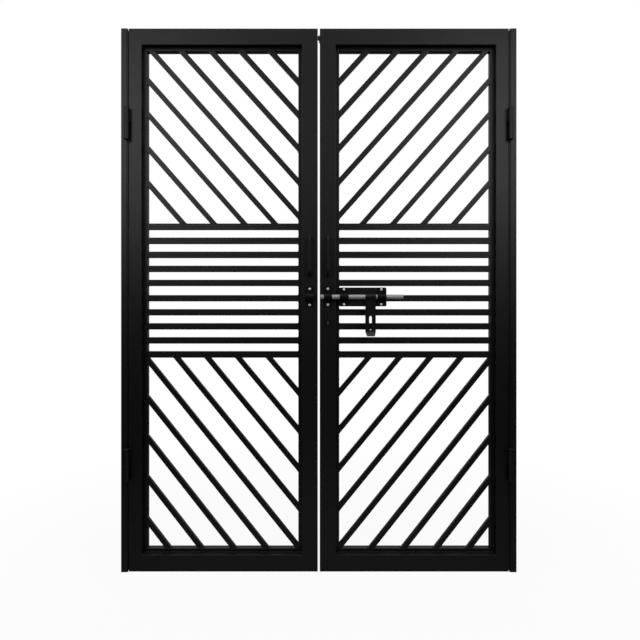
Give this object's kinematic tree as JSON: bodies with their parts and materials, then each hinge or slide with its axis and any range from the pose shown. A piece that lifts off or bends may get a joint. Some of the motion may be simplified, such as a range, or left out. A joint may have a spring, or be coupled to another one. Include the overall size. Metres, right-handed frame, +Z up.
{
  "type": "steel security screen door",
  "caption": "Double-leaf steel security door: mirrored barred leaves with diagonal and horizontal bars, barrel hinges on slim jambs, bow pulls and a sliding padlock bolt.",
  "frame": {"origin": "on the wall face of the left jamb, at floor level and half way through its depth", "axes": "+X across the doorway to the right, +Y away from the viewer, +Z up"},
  "size_m": [1.528, 0.092, 2.1],
  "materials": {
    "frame_paint": "satin black powder coat",
    "hardware_paint": "semi-gloss black paint",
    "bolt_steel": "zinc plated round bar",
    "buffer_rubber": "matt black rubber"
  },
  "bodies": {
    "jambs": {"left_jamb": "frame_paint", "right_jamb": "frame_paint", "left_upper_jamb_knuckle": "frame_paint", "left_lower_jamb_knuckle": "frame_paint", "right_upper_jamb_knuckle": "frame_paint", "right_lower_jamb_knuckle": "frame_paint"},
    "left_leaf": {"left_hinge_stile": "frame_paint", "left_meeting_stile": "frame_paint", "left_top_rail": "frame_paint", "left_bottom_rail": "frame_paint", "left_upper_diagonal_bars": "frame_paint", "left_middle_bars": "frame_paint", "left_lower_diagonal_bars": "frame_paint", "left_upper_leaf_knuckle": "frame_paint", "left_lower_leaf_knuckle": "frame_paint", "left_pull_handle": "hardware_paint", "left_bolt_keeper": "hardware_paint"},
    "right_leaf": {"right_hinge_stile": "frame_paint", "right_meeting_stile": "frame_paint", "right_top_rail": "frame_paint", "right_bottom_rail": "frame_paint", "right_upper_diagonal_bars": "frame_paint", "right_middle_bars": "frame_paint", "right_lower_diagonal_bars": "frame_paint", "right_upper_leaf_knuckle": "frame_paint", "right_lower_leaf_knuckle": "frame_paint", "right_pull_handle": "hardware_paint", "right_stile_bolt_guide": "hardware_paint", "bolt_plate": "hardware_paint", "bolt_packer": "hardware_paint", "inner_bolt_guide": "hardware_paint", "outer_bolt_guide": "hardware_paint", "padlock_eye": "hardware_paint", "meeting_buffer": "buffer_rubber"},
    "bolt": {"bolt_rod": "bolt_steel"},
    "hasp": {"hasp_handle": "hardware_paint"}
  },
  "joints": [
    {"name": "left_leaf_hinge", "type": "hinge", "parent": "jambs", "child": "left_leaf", "pos_m": [0.027, -0.04, 0], "axis": [0, 0, -1], "range_deg": [0, 110]},
    {"name": "right_leaf_hinge", "type": "hinge", "parent": "jambs", "child": "right_leaf", "pos_m": [1.501, -0.04, 0], "axis": [0, 0, 1], "range_deg": [0, 110]},
    {"name": "bolt_slide", "type": "slide", "parent": "right_leaf", "child": "bolt", "axis": [-1, 0, 0], "range_m": [0, 0.058]},
    {"name": "hasp_turn", "type": "hinge", "parent": "bolt", "child": "hasp", "pos_m": [0.962, -0.042, 1.063], "axis": [-1, 0, 0], "range_deg": [0, 120]}
  ]
}
